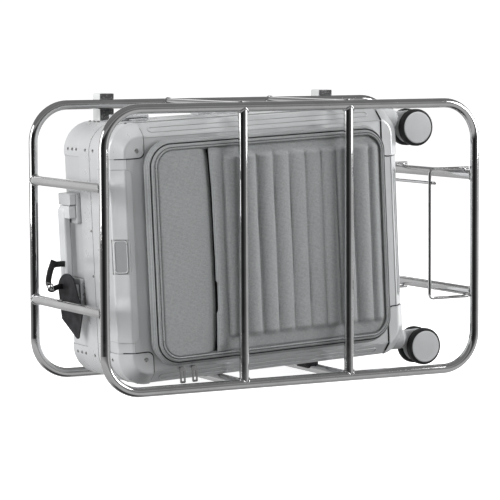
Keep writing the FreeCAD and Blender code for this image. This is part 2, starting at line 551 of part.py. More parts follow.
for name, x in (("left", "pull_u"), ("right", "pull_u + pull_gap")):
    slider = block((x + " - 4", "pocket_front + 5.5", POCKET_LOW + " - 3.8"),
                   (x + " + 4", "pocket_front + 11", POCKET_LOW + " - 0.4"))
    tab = block((x + " - pull_wide/2", "pocket_front + 2.4", POCKET_LOW + " + 7 - pull_long"),
                (x + " + pull_wide/2", "pocket_front + 4.4", POCKET_LOW + " - 0.4"))
    tab = fillet(tab, 2.0, runs_along(Y_AXIS))
    link = block((x + " - 1.5", "pocket_front + 4", POCKET_LOW + " - 3.4"),
                 (x + " + 1.5", "pocket_front + 6", POCKET_LOW + " - 1"))
    window = block((x + " - pull_slot/2", "pocket_front", POCKET_LOW + " + 10 - pull_long"),
                   (x + " + pull_slot/2", "pocket_front + 7", POCKET_LOW + " - 7"))
    keep("zip_pull_" + name, cut(fuse(slider, tab, link), window), CASE)

# ---------------------------------------------------------------- rest pads under the case
# Rubber pads fill the gap between the bottom tie tubes and the underside of the case.
rests = []
for x in (-size("upright_x"), size("upright_x")):
    tube = CASE.inverse().multVec(CAGE.multVec(Vector(x, 0, 0)))
    for near in ("-16", "46"):
        pad = block(("%s - pad_half" % tube.x, near, tube.z),
                    ("%s + pad_half" % tube.x, near + " + pad_long", "-case_wide/2"))
        bar = rod((tube.x, near + " - 1", tube.z), "pad_long + 2", "tube_d/2", ALONG_Y)
        rests.append(cut(pad, bar, front_band, back_band, seal_ring))
keep("rest_pads", group(*rests), CASE)

# ---------------------------------------------------------------- luggage tag and strap
# The strap is a collar round the carry handle's grip and a round loop that holds the tag.
grip_mid = "-case_long/2 - grip_off - grip_thick/2"
collar_low = (grip_mid + " - grip_thick/2 - strap_gap", "carry_rear - grip_wide - strap_gap",
              "strap_w - strap_wide/2")
collar_high = (grip_mid + " + grip_thick/2 + strap_gap", "carry_rear + strap_gap", "strap_w + strap_wide/2")
outer_low = ["%s - strap_thick" % v for v in collar_low[:2]] + [collar_low[2]]
outer_high = ["%s + strap_thick" % v for v in collar_high[:2]] + [collar_high[2]]
collar = cut(fillet(block(outer_low, outer_high), 1.8, runs_along(Z_AXIS)), block(collar_low, collar_high))
loop_at = (collar_low[0] + " - strap_r", "tag_y + 7 - strap_wide/2", "strap_w")
loop_outer = rod(loop_at, "strap_wide", "strap_r", ALONG_Y)
loop_inner = rod(loop_at, "strap_wide", "strap_r - strap_thick", ALONG_Y)
keep("tag_strap", fuse(collar, cut(loop_outer, loop_inner)), CASE)


def tag_body():
    """A leather tag: a round-shouldered plate that ends in a point."""
    body = doc.addObject("PartDesign::Body", "TagBody")
    sketch = body.newObject("Sketcher::SketchObject", "TagOutline")
    plane = [f for f in body.Origin.OriginFeatures if f.Role == "YZ_Plane"][0]
    sketch.AttachmentSupport = [(plane, "")]
    sketch.MapMode = "FlatFace"
    half, long, part = size("tag_wide") / 2, size("tag_long"), size("tag_shoulder")
    corners = [Vector(-half, 0), Vector(-half, -long * part), Vector(0, -long), Vector(half, -long * part),
               Vector(half, 0)]
    crown = Part.Arc(corners[-1], Vector(0, half * part), corners[0])
    # The slot stands where the strap's loop passes through the tag.
    low, high = Vector(2, -8), Vector(2 + size("slot_wide"), -8 + size("slot_tall"))
    slot = [low, Vector(high.x, low.y), high, Vector(low.x, high.y), low]
    for path in (corners, slot):
        for start, end in zip(path, path[1:]):
            sketch.addGeometry(Part.LineSegment(start, end))
    sketch.addGeometry(crown)
    pad = body.newObject("PartDesign::Pad", "TagPad")
    pad.Profile = sketch
    bind(pad, "Length", "tag_thick")
    return body


tag = tag_body()
TAG = CAGE.multiply(Placement(Vector(size("tag_x"), size("tag_y"), size("tag_top") - size("tag_hang")),
                              Rotation(Y_AXIS, -size("tag_lean"))))
keep("luggage_tag", tag, TAG)

# ---------------------------------------------------------------- checks and export
doc.recompute()
broken = [obj.Name for obj in doc.Objects if "Invalid" in obj.State or "Error" in obj.State]
if broken:
    raise RuntimeError("failed objects: %s" % broken)
for label, obj in pieces.items():
    if obj.Shape.isNull() or not obj.Shape.isValid():
        raise RuntimeError("bad shape: " + label)
os.makedirs("parts", exist_ok=True)
for label, obj in pieces.items():
    obj.Shape.exportStep("parts/%s.step" % label)
outline = FreeCAD.BoundBox()
for obj in pieces.values():
    outline.add(obj.Shape.optimalBoundingBox())
print(len(pieces), "pieces; outline", outline)
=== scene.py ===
"""Looks for the chrome luggage carrier and the cabin case that lies in it. Metres throughout."""
import json
import math

import bpy
from mathutils import Matrix, Vector, noise


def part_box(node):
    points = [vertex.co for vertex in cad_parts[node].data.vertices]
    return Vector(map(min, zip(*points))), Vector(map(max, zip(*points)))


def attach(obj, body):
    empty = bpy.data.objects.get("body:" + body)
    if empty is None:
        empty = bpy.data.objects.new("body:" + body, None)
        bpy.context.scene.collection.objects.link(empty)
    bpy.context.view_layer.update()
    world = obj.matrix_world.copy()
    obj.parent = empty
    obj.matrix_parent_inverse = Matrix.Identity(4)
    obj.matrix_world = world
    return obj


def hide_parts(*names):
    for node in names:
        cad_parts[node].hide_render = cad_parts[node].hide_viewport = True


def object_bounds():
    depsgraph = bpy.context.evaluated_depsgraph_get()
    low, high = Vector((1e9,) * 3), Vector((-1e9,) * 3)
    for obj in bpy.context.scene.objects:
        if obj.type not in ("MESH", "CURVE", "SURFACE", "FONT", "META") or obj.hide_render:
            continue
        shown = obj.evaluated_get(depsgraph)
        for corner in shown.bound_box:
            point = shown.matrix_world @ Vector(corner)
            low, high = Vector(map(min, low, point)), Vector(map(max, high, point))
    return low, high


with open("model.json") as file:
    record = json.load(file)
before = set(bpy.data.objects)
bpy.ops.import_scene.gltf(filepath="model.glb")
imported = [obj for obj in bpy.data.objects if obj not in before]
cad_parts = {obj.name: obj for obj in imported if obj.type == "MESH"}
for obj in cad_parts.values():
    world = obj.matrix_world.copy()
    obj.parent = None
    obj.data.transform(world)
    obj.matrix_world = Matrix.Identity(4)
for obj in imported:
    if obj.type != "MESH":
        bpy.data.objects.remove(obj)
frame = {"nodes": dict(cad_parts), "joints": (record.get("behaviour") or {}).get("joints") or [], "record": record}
cad_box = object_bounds()
scene = bpy.context.scene
nodes = frame["nodes"]
joints = {j["name"]: j for j in frame["joints"]}
MM = 0.001

# ---------------------------------------------------------------- the case's own axes
# x along the case towards its wheels, y from its pocket to its back, z across its width.
along = Vector(joints["zip_right_slide"]["axis"]).normalized()
across = Vector(joints["side_handle_lift"]["axis"]).normalized()
low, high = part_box("frame_gasket")
PARTING = -8 * MM
centre = (low + high) / 2 - Vector((0, PARTING, 0))
CASE = Matrix((
    (along.x, 0, across.x, centre.x),
    (along.y, 1, across.y, centre.y),
    (along.z, 0, across.z, centre.z),
    (0, 0, 0, 1),
))
ROW = Matrix.Identity(4)


# ---------------------------------------------------------------- mesh helpers
def mesh_piece(name, verts, faces, mat, body, slot, matrix=CASE, smooth=True):
    """A mesh in its own axes, standing in the row frame through matrix, on a body."""
    data = bpy.data.meshes.new(name)
    data.from_pydata([tuple(v) for v in verts], [], faces)
    data.materials.append(mat)
    if smooth:
        data.polygons.foreach_set("use_smooth", [True] * len(data.polygons))
    obj = bpy.data.objects.new(name, data)
    scene.collection.objects.link(obj)
    obj.matrix_world = matrix
    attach(obj, body)
    return obj


def grid_faces(rows, cols, wrap=False):
    """Quads of a grid stored row by row. wrap joins the last column to the first."""
    faces = []
    for i in range(rows - 1):
        for j in range(cols if wrap else cols - 1):
            k = (j + 1) % cols
            faces.append((i * cols + j, i * cols + k, (i + 1) * cols + k, (i + 1) * cols + j))
    return faces


def smoothstep(low, high, x):
    t = min(1.0, max(0.0, (x - low) / (high - low)))
    return t * t * (3 - 2 * t)


def rounded_outline(mid, up, half_x, half_z, radius, step):
    """Points and outward directions of a rounded rectangle in the x-z plane."""
    points = []
    corner = max(6, int(radius * math.pi / 2 / step))
    for sx, sz, start in ((1, 1, 0), (-1, 1, 90), (-1, -1, 180), (1, -1, 270)):
        for k in range(corner + 1):
            a = math.radians(start + 90 * k / corner)
            normal = Vector((math.cos(a), 0, math.sin(a)))
            base = Vector((mid + sx * (half_x - radius), 0, up + sz * (half_z - radius)))
            points.append((base + normal * radius, normal))
        # the straight side that follows this corner
        length = 2 * ((half_x if start in (0, 180) else half_z) - radius)
        count = int(length / step)
        here, normal = points[-1]
        direction = Vector((-normal.z, 0, normal.x))
        for k in range(1, count):
            points.append((here + direction * length * k / count, normal))
    return points


def ring_loft(outline, profile):
    """Verts and faces of a strip that follows an outline: profile holds (inset, depth) pairs."""
    verts = []
    for inset, depth in profile:
        for point, normal in outline:
            verts.append(point - normal * inset + Vector((0, depth, 0)))
    return verts, grid_faces(len(profile), len(outline), wrap=True)


def tube_verts(path, radius, sides=12, closed=False):
    """Verts and faces of a round tube along points."""
    verts, count = [], len(path)
    frame_up = Vector((0, 0, 1))
    for i, p in enumerate(path):
        before = path[i - 1] if i or closed else path[i]
        after = path[(i + 1) % count] if i < count - 1 or closed else path[i]
        tangent = (after - before).normalized()
        side = tangent.cross(frame_up)
        if side.length < 0.05:
            side = tangent.cross(Vector((0, 1, 0)))
        side.normalize()
        up = side.cross(tangent).normalized()
        r = radius(i) if callable(radius) else radius
        for k in range(sides):
            a = 2 * math.pi * k / sides
            verts.append(p + side * math.cos(a) * r + up * math.sin(a) * r)
    faces = grid_faces(count, sides, wrap=True)
    if closed:
        faces += [((count - 1) * sides + k, (count - 1) * sides + (k + 1) % sides, (k + 1) % sides, k)
                  for k in range(sides)]
    else:
        faces.append(tuple(range(sides)))
        faces.append(tuple((count - 1) * sides + k for k in reversed(range(sides))))
    return verts, faces


def band_verts(path, widths, thick):
    """A flat strap along points. widths holds one half-width vector for each point."""
    verts, count = [], len(path)
    for i, (p, w) in enumerate(zip(path, widths)):
        tangent = (path[min(i + 1, count - 1)] - path[max(i - 1, 0)]).normalized()
        normal = tangent.cross(w).normalized() * thick / 2
        edge = w * 0.86
        for offset in (w, edge + normal, -edge + normal, -w, -edge - normal, edge - normal):
            verts.append(p + offset)
    faces = grid_faces(count, 6, wrap=True)
    faces.append(tuple(range(6)))
    faces.append(tuple((count - 1) * 6 + k for k in reversed(range(6))))
    return verts, faces


def merge(parts):
    """Several (verts, faces) as one."""
    verts, faces = [], []
    for v, f in parts:
        faces += [tuple(i + len(verts) for i in face) for face in f]
        verts += list(v)
    return verts, faces


# ---------------------------------------------------------------- materials
def new_material(name, color, roughness, metallic=0.0, specular=0.5):
    mat = bpy.data.materials.new(name)
    mat.use_nodes = True
    shader = mat.node_tree.nodes["Principled BSDF"]
    shader.inputs["Base Color"].default_value = (*color, 1)
    shader.inputs["Roughness"].default_value = roughness
    shader.inputs["Metallic"].default_value = metallic
    shader.inputs["Specular IOR Level"].default_value = specular
    return mat, shader


def node(mat, kind, **inputs):
    made = mat.node_tree.nodes.new(kind)
    for key, value in inputs.items():
        made.inputs[key.replace("_", " ")].default_value = value
    return made


def link(mat, out, into):
    mat.node_tree.links.new(out, into)


def coordinates(mat, stretch=(1, 1, 1)):
    """The piece's own coordinates in metres, stretched."""
    place = node(mat, "ShaderNodeTexCoord")
    mapping = node(mat, "ShaderNodeMapping", Scale=stretch)
    link(mat, place.outputs["Object"], mapping.inputs["Vector"])
    return mapping.outputs["Vector"]


def noise_of(mat, scale, detail=3.0, stretch=(1, 1, 1), roughness=0.5):
    texture = node(mat, "ShaderNodeTexNoise", Scale=scale, Detail=detail, Roughness=roughness)
    link(mat, coordinates(mat, stretch), texture.inputs["Vector"])
    return texture.outputs["Fac"]


def remap(mat, value, low_in, high_in, low_out, high_out):
    made = node(mat, "ShaderNodeMapRange")
    for slot_number, number in zip((1, 2, 3, 4), (low_in, high_in, low_out, high_out)):
        made.inputs[slot_number].default_value = number
    link(mat, value, made.inputs[0])
    return made.outputs[0]


def mix_color(mat, factor, a, b):
    """A colour between two colours, each a triple or an output."""
    made = mat.node_tree.nodes.new("ShaderNodeMix")
    made.data_type = "RGBA"
    link(mat, factor, made.inputs["Factor"])
    for socket, value in ((made.inputs[6], a), (made.inputs[7], b)):
        if isinstance(value, tuple):
            socket.default_value = (*value, 1)
        else:
            link(mat, value, socket)
    return made.outputs[2]


def bump(mat, shader, height, strength, distance):
    """Adds a height to the shader's normal, on top of any bump that is there."""
    made = node(mat, "ShaderNodeBump", Strength=strength, Distance=distance)
    link(mat, height, made.inputs["Height"])
    if shader.inputs["Normal"].is_linked:
        link(mat, shader.inputs["Normal"].links[0].from_socket, made.inputs["Normal"])
    link(mat, made.outputs["Normal"], shader.inputs["Normal"])


def crease_shade(mat, shader, reach, darkest, shade_color=(0.02, 0.02, 0.022)):
    """Painted shade where surfaces meet: the base colour is darkened within reach of a neighbouring surface, found
    by ambient occlusion.
    """
    hollow = node(mat, "ShaderNodeAmbientOcclusion", Distance=reach)
    hollow.samples = 6
    hollow.only_local = False
    # Painted shade: how much the colour darkens where occlusion is high.
    shade_amount = remap(mat, hollow.outputs["AO"], 0.35, 0.85, darkest, 0)
    below = shader.inputs["Base Color"].links[0].from_socket
    link(mat, mix_color(mat, shade_amount, below, shade_color), shader.inputs["Base Color"])


def shade(mat, shader, scale, dark, light, stretch=(1, 1, 1), span=(0.35, 0.65)):
    """Uneven colour from noise."""
    spread = remap(mat, noise_of(mat, scale, 4, stretch), *span, 0, 1)
    color = mix_color(mat, spread, dark, light)
    link(mat, color, shader.inputs["Base Color"])
    return color


def gloss(mat, shader, scale, low_rough, high_rough, stretch=(1, 1, 1)):
    """Uneven roughness from noise."""
    link(mat, remap(mat, noise_of(mat, scale, 3, stretch), 0.35, 0.65, low_rough, high_rough),
         shader.inputs["Roughness"])


def chrome(name, base=0.8, rough=(0.035, 0.09), pits=0.0):
    """Polished plate with faint ripples, smears and a few pits."""
    mat, shader = new_material(name, (base, base, base * 1.01), rough[0], 1.0)
    color = shade(mat, shader, 22, (base * 0.9,) * 3, (base, base, base * 1.01))
    gloss(mat, shader, 60, *rough)
    bump(mat, shader, noise_of(mat, 28, 2), 0.12, 0.0012)
    if pits:
        specks = remap(mat, noise_of(mat, 620, 1), 0.72, 0.78, 0, pits)
        link(mat, mix_color(mat, specks, color, (0.06, 0.05, 0.045)), shader.inputs["Base Color"])
    return mat


def aluminium(name, light, rough, grain=0.25, stretch=(1, 1, 1)):
    """Anodised sheet: fine even grain and slight clouding."""
    dark = tuple(c * 0.93 for c in light)
    mat, shader = new_material(name, light, rough, 0.5, 0.5)
    shade(mat, shader, 9, dark, light)
    gloss(mat, shader, 35, rough - 0.04, rough + 0.05)
    bump(mat, shader, noise_of(mat, 2600, 1, stretch), grain, 0.00012)
    bump(mat, shader, noise_of(mat, 14, 1), 0.25, 0.0009)
    # Painted shade: the sheet's colour is darkened close to edges, steps and neighbouring parts.
    crease_shade(mat, shader, 3.2 * MM, 0.85)
    return mat


def plastic(name, color, rough, grain_scale=1500, grain=0.3, specular=0.4):
    dark = tuple(c * 0.88 for c in color)
    mat, shader = new_material(name, color, rough, 0.0, specular)
    shade(mat, shader, 18, dark, color)
    gloss(mat, shader, 50, rough - 0.06, rough + 0.06)
    bump(mat, shader, noise_of(mat, grain_scale, 2), grain, 0.0002)
    return mat


def woven(name, dark, light, pitch):
    """Plain weave with a slubby melange yarn."""
    mat, shader = new_material(name, light, 0.86, 0.0, 0.25)
    shader.inputs["Sheen Weight"].default_value = 0.25
    shader.inputs["Sheen Roughness"].default_value = 0.45
    weave = []
    for axis in ("X", "Z"):
        wave = node(mat, "ShaderNodeTexWave", Scale=1.0 / pitch / 2, Distortion=0.6, Detail=1.0)
        wave.inputs["Detail Scale"].default_value = 2.0
        wave.wave_profile = "SIN"
        wave.bands_direction = axis
        link(mat, coordinates(mat, (0.314, 0.314, 0.314)), wave.inputs["Vector"])
        weave.append(wave.outputs["Fac"])
    both = node(mat, "ShaderNodeMath")
    both.operation = "MAXIMUM"
    for k, out in enumerate(weave):
        link(mat, out, both.inputs[k])
    slub = remap(mat, noise_of(mat, 520, 3, (0.7, 1, 1)), 0.3, 0.7, 0, 1)
    patch = remap(mat, noise_of(mat, 26, 3), 0.3, 0.7, 0, 1)
    yarn = mix_color(mat, slub, dark, light)
    worn = mix_color(mat, patch, tuple(c * 0.93 for c in light), light)
    blend = mat.node_tree.nodes.new("ShaderNodeMix")
    blend.data_type = "RGBA"
    blend.inputs["Factor"].default_value = 0.45
    link(mat, yarn, blend.inputs[6])
    link(mat, worn, blend.inputs[7])
    shadow = remap(mat, both.outputs[0], 0.0, 0.9, 0.0, 1.0)
    link(mat, mix_color(mat, shadow, tuple(c * 0.7 for c in dark), blend.outputs[2]),
         shader.inputs["Base Color"])
    # Painted shade: the cloth's colour is darkened in its creases and where it meets other surfaces.
    crease_shade(mat, shader, 9 * MM, 0.75, tuple(c * 0.3 for c in dark))
    bump(mat, shader, both.outputs[0], 0.55, 0.0004)
    bump(mat, shader, noise_of(mat, 70, 2), 0.2, 0.0008)
    return mat


def leather(name, color):
    mat, shader = new_material(name, color, 0.5, 0.0, 0.35)
    cells = node(mat, "ShaderNodeTexVoronoi", Scale=900)
    link(mat, coordinates(mat), cells.inputs["Vector"])
    shade(mat, shader, 60, tuple(c * 0.55 for c in color), tuple(c * 1.5 for c in color))
    gloss(mat, shader, 90, 0.4, 0.6)
    bump(mat, shader, cells.outputs["Distance"], 0.5, 0.0003)
    bump(mat, shader, noise_of(mat, 120, 2), 0.3, 0.0006)
    return mat


def rubber(name, color, rough, speckle=0.0):
    mat, shader = new_material(name, color, rough, 0.0, 0.3)
    color_out = shade(mat, shader, 45, tuple(c * 0.7 for c in color), tuple(c * 1.3 for c in color))
    gloss(mat, shader, 80, rough - 0.1, rough + 0.08)
    if speckle:
        dots = remap(mat, noise_of(mat, 700, 2), 0.58, 0.66, 0, speckle)
        link(mat, mix_color(mat, dots, color_out, (0.42, 0.42, 0.42)), shader.inputs["Base Color"])
    bump(mat, shader, noise_of(mat, 900, 2), 0.5, 0.0003)
    return mat


looks = {
    "chrome_tube": chrome("tube_chrome", 0.82, (0.03, 0.075), pits=0.7),
    "chrome_wire": chrome("wire_chrome", 0.76, (0.05, 0.12), pits=0.8),
    "hook_steel": plastic("hook_paint", (0.66, 0.67, 0.67), 0.45),
    "pad_rubber": rubber("pad_rubber", (0.055, 0.055, 0.057), 0.75, speckle=0.55),
    "shell_aluminium": aluminium("shell_aluminium", (0.68, 0.69, 0.70), 0.34),
    "frame_aluminium": aluminium("frame_aluminium", (0.70, 0.71, 0.72), 0.30, 0.3, (0.2, 1, 0.2)),
    "gasket_rubber": rubber("gasket_rubber", (0.03, 0.03, 0.03), 0.6),
    "cap_aluminium": aluminium("cap_aluminium", (0.72, 0.73, 0.74), 0.31),
    "rivet_steel": chrome("rivet_steel", 0.66, (0.16, 0.26)),
    "hinge_steel": chrome("hinge_steel", 0.55, (0.2, 0.32)),
    "latch_metal": aluminium("latch_metal", (0.62, 0.63, 0.64), 0.26),
    "handle_plastic": plastic("handle_plastic", (0.56, 0.57, 0.58), 0.38, 900, 0.2),
    "bracket_metal": aluminium("bracket_metal", (0.66, 0.67, 0.68), 0.3),
    "sleeve_plastic": plastic("sleeve_plastic", (0.045, 0.045, 0.048), 0.5),
    "rod_aluminium": aluminium("rod_aluminium", (0.72, 0.73, 0.74), 0.22, 0.3, (0.1, 1, 1)),
    "trolley_plastic": plastic("trolley_plastic", (0.028, 0.028, 0.03), 0.45, 900, 0.4),
    "caster_plastic": plastic("caster_plastic", (0.52, 0.53, 0.54), 0.42, 1200, 0.25),
    "axle_steel": chrome("axle_steel", 0.6, (0.14, 0.24)),
    "hub_plastic": plastic("hub_plastic", (0.60, 0.61, 0.62), 0.4, 1100, 0.18),
    "tyre_rubber": rubber("tyre_rubber", (0.016, 0.016, 0.017), 0.55),
    "pocket_fabric": woven("pocket_weave", (0.245, 0.253, 0.257), (0.385, 0.396, 0.40), 0.9 * MM),
    "zip_metal": chrome("zip_metal", 0.7, (0.12, 0.22)),
    "tag_leather": leather("tag_leather", (0.018, 0.018, 0.02)),
    "strap_leather": leather("strap_leather", (0.012, 0.012, 0.013)),
}
for row in frame["record"]["subparts"]:
    data = nodes[row["node"]].data
    data.materials.clear()
    data.materials.append(looks[row["material_slot"]])

# ---------------------------------------------------------------- front pocket
fabric = looks["pocket_fabric"]
corners = [CASE.inverted() @ v.co for v in nodes["front_pocket"].data.vertices]
P_LEFT, P_RIGHT = min(v.x for v in corners), max(v.x for v in corners)
P_LOW, P_TOP = min(v.z for v in corners), max(v.z for v in corners)
P_BASE = max(v.y for v in corners)
P_MID, P_UP = (P_LEFT + P_RIGHT) / 2, (P_LOW + P_TOP) / 2
P_HALF_X, P_HALF_Z, P_R = (P_RIGHT - P_LEFT) / 2, (P_TOP - P_LOW) / 2, 40 * MM


def depth(height):
    """How far forward a point stands, from its height over the case in millimetres."""
    return P_BASE - height * MM


outline = rounded_outline(P_MID, P_UP, P_HALF_X, P_HALF_Z, P_R, 2.2 * MM)
# How far in from the outline, and how high over the shell: the foot and the gusset's bulge, the lip before
# the zip, the zip's groove, and the rolled edge behind it.
gusset_profile = [
    (3.4, 0.0), (3.2, 1.2), (1.6, 2.4), (0.5, 3.6), (0.3, 5), (1.2, 8.5), (2.8, 12), (4.2, 14.8),
    (4.9, 15.3), (5.3, 14.6), (5.5, 13.2), (6.6, 13.2), (6.9, 15.2), (7.5, 17.4), (8.8, 19.0),
    (10.2, 19.3), (11.2, 18.6), (11.6, 17.0), (13.4, 16.6), (16.5, 17.0),
]
verts, faces = ring_loft(outline, [(a * MM, depth(h)) for a, h in gusset_profile])
for v in verts:
    v.y += 0.5 * MM * noise.noise(v * 38)
gusset = mesh_piece("pocket_gusset", verts, faces, fabric, "root", "pocket_fabric")
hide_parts("front_pocket")

path = [p - n * 12.9 * MM + Vector((0, depth(19.2), 0)) for p, n in outline]
mesh_piece("pocket_piping", *tube_verts(path, 1.35 * MM, 10, closed=True), fabric, "root", "pocket_fabric")

# The zip's coil lies in the groove of the gusset.
coil = rubber("zip_coil", (0.03, 0.031, 0.032), 0.5)
path = [p - n * 6.05 * MM + Vector((0, depth(14.3), 0))
        for p, n in rounded_outline(P_MID, P_UP, P_HALF_X, P_HALF_Z, P_R, 0.8 * MM)]
mesh_piece("zip_coil", *tube_verts(path, lambda i: (0.95 if i % 2 else 0.55) * MM, 6, closed=True), coil,
           "root", "zip_metal")

# Height on the case, and where the slit lies across it, in millimetres.
SLIT = [(-152, -98.6), (-145, -97.2), (-80, -95.4), (-14, -94.8), (87, -95.8), (149, -98.7), (152, -99.0)]


def slit_x(z):
    """Where the flap's free edge lies across the pocket, at a height."""
    z /= MM
    for (z0, x0), (z1, x1) in zip(SLIT, SLIT[1:]):
        if z <= z1:
            t = max(0.0, (z - z0) / (z1 - z0))
            return (x0 + (x1 - x0) * t) * MM
    return SLIT[-1][1] * MM


def side_x(z, inset, sign):
    """Where the pocket's outline, drawn in by inset, lies at a height."""
    radius = P_R - inset
    over = abs(z - P_UP) - (P_HALF_Z - inset - radius)
    pull = radius - math.sqrt(max(0.0, radius ** 2 - over ** 2)) if over > 0 else 0.0
    return P_MID + sign * (P_HALF_X - inset - pull)


def edge_gap(x, z, inset):
    """How far a point lies inside the outline drawn in by inset."""
    radius = P_R - inset
    dx = abs(x - P_MID) - (P_HALF_X - inset - radius)
    dz = abs(z - P_UP) - (P_HALF_Z - inset - radius)
    outside = math.hypot(max(dx, 0), max(dz, 0))
    return radius - (outside if outside > 0 else max(dx, dz))


# The panel and the flap start this far inside the pocket's outline.
EDGE = 13.6 * MM
TOP_Z = P_HALF_Z - EDGE
# Heights over the case in millimetres: a stitched line runs round both, and the panel dips to the slit.
STITCH_AT, STITCH_DEEP, STITCH_WIDE = 4.6, 0.35, 0.7
PANEL_EDGE, PANEL_DIP, DIP_WIDE = 17.4, 7.5, 19
PATCH = 0.05


def stitched(gap):
    """How deep the stitched line pulls the cloth in, at a distance from the edge."""
    return STITCH_DEEP * math.exp(-((gap - STITCH_AT) / STITCH_WIDE) ** 2)


def scan_rows(step):
    """Heights of a grid's rows, closer together near the top and the bottom."""
    rows, count = [], int(2 * TOP_Z / step)
    for i in range(count + 1):
        t = i / count * 2 - 1
        rows.append(P_UP + TOP_Z * math.sin(t * math.pi / 2) * 0.35 + TOP_Z * t * 0.65)
    return rows


def panel_height(x, z):
    """The plain panel: low at its seam, a little crowned, and drawn down beside the slit."""
    gap = edge_gap(x, z, EDGE) / MM
    h = PANEL_EDGE + 1.7 * smoothstep(0, 3.0, gap) + 0.9 * smoothstep(3, 40, gap)
    h -= stitched(gap)
    near = (slit_x(z) - x) / MM
    h -= PANEL_DIP * (1 - smoothstep(-2, DIP_WIDE, near)) ** 1.5
    p = Vector((x, 0, z)) / PATCH
    h += 0.45 * noise.noise(p * 0.8) + 0.14 * noise.noise(p * 3.1)
    return h


rows = scan_rows(2.6 * MM)
PANEL_COLUMNS, FLAP_COLUMNS = 42, 132
verts = []
for z in rows:
    left, right = side_x(z, EDGE, -1), slit_x(z) + 1 * MM
    for j in range(PANEL_COLUMNS):
        x = left + (right - left) * j / (PANEL_COLUMNS - 1)
        verts.append(Vector((x, depth(panel_height(x, z)), z)))
mesh_piece("pocket_panel", verts, grid_faces(len(rows), PANEL_COLUMNS), fabric, "root", "pocket_fabric")

# Where the sewn grooves run up the flap, and the ribs' and the rolled edge's heights, in millimetres.
GROOVES = [-75.5, -48.0, -20.8, 7.3, 33.6, 60.6, 87.1, 112.0, 140.5, 169.0]
RIB_TOP, RIB_LOW = 137 * MM, -131 * MM
RIB_HEIGHT, RIB_END, LAST_RIB, SUNK = 5.4, 7, 27, 1.2
FLAP_EDGE, ROLL_HEIGHT = 16.6, 5.2
NOTCH_LOW, NOTCH_TOP, NOTCH_IN = -90, -46, 2.2
LIP, LIP_WIDE = 18.2, 3.2


def flap_height(x, z):
    """The quilted flap: a fat rolled edge, then a row of padded ribs."""
    gap = edge_gap(x, z, EDGE) / MM
    border = FLAP_EDGE + 2.1 * smoothstep(0, 3.5, gap) + 0.4 * smoothstep(3, 16, gap)
    border -= stitched(gap)
    edge = slit_x(z) / MM
    u = x / MM
    if u < GROOVES[0]:
        t = (u - edge) / (GROOVES[0] - edge)
        swell = ROLL_HEIGHT * math.sin(math.pi * min(1.0, max(0.0, t)) ** 0.62) ** 0.8
        swell *= 0.45 + 0.55 * smoothstep(2, 16, gap)
    else:
        stops = GROOVES + [GROOVES[-1] + LAST_RIB]
        for g0, g1 in zip(stops, stops[1:]):
            if u <= g1:
                break
        t = min(1.0, (u - g0) / (g1 - g0))
        swell = RIB_HEIGHT * math.sin(math.pi * t) ** 0.52
        swell *= smoothstep(-1, RIB_END, (RIB_TOP - z) / MM) * smoothstep(-1, RIB_END, (z - RIB_LOW) / MM)
        if u > GROOVES[-1]:
            swell *= 1 - smoothstep(0.2, 0.8, t)
    p = Vector((x, 0, z)) / PATCH
    wobble = 0.3 * noise.noise(p * 1.1 + Vector((5, 0, 0))) + 0.12 * noise.noise(p * 4.3)
    return border - SUNK + swell + wobble


def flap_edge(z):
    """The flap's free edge, with the short set-back where it doesn't meet the panel."""
    z_mm = z / MM
    back = smoothstep(NOTCH_LOW - 2, NOTCH_LOW + 2, z_mm)
    back *= 1 - smoothstep(NOTCH_TOP - 2, NOTCH_TOP + 2, z_mm)
    return slit_x(z) + 0.4 * MM + NOTCH_IN * MM * back


# The free edge curls under: how far in from it, and how high.
verts = []
curl = [(9.0, 16.6), (3.0, 16.4), (0.9, 16.7), (0.0, 17.6)]
for z in rows:
    start = flap_edge(z)
    end = side_x(z, EDGE, 1)
    for dx, h in curl:
        verts.append(Vector((start + dx * MM, depth(h), z)))
    begin = start + 0.12 * MM
    for j in range(FLAP_COLUMNS):
        x = begin + (end - begin) * j / (FLAP_COLUMNS - 1)
        rise = smoothstep(0, LIP_WIDE, (x - start) / MM)
        h = flap_height(x, z)
        verts.append(Vector((x, depth(LIP + (h - LIP) * rise), z)))
flap = mesh_piece("pocket_flap", verts, grid_faces(len(rows), FLAP_COLUMNS + len(curl)), fabric, "root",
                  "pocket_fabric")

# A lining piece in the slit between the panel and the flap, coloured near black as painted shade for the shadow
# under the flap's edge.
verts = []
LINING = [(-0.6, 12.6), (1.5, 11.6), (7, 11.2), (16, 12.0), (17, 17.0)]
LINING_END = 16.4
for z in rows:
    reach = smoothstep(0, 9 * MM, TOP_Z - abs(z - P_UP))
    for dx, h in LINING:
        verts.append(Vector((slit_x(z) + dx * MM, depth(LINING_END + (h - LINING_END) * reach), z)))
slit_shade_lining = rubber("slit_shade_lining", (0.012, 0.012, 0.013), 0.9)
mesh_piece("pocket_lining", verts, grid_faces(len(rows), len(LINING)), slit_shade_lining, "root", "pocket_fabric")

# ---------------------------------------------------------------- pressed lines on the front shell
# The shell's front face, half its length and width, and the bevel round its front, in the case's axes.
SHELL_FRONT, HALF_LONG, HALF_WIDE, BEVEL = -88 * MM, 239 * MM, 187.25 * MM, 17.5 * MM
SLOPE = math.sqrt(0.5)
LINE_R, SLOT_HALF, PROUD = 1.1 * MM, 4.6 * MM, 0.8 * MM


def pressed_ring(start, end, place):
    """A raised line round a long slot shape on a flat place of the shell."""
    shape = rounded_outline((start + end) / 2, 0, (end - start) / 2, SLOT_HALF, SLOT_HALF * 0.96, 2.5 * MM)
    return tube_verts([place(p.x, p.z) for p, _ in shape], LINE_R, 8, closed=True)


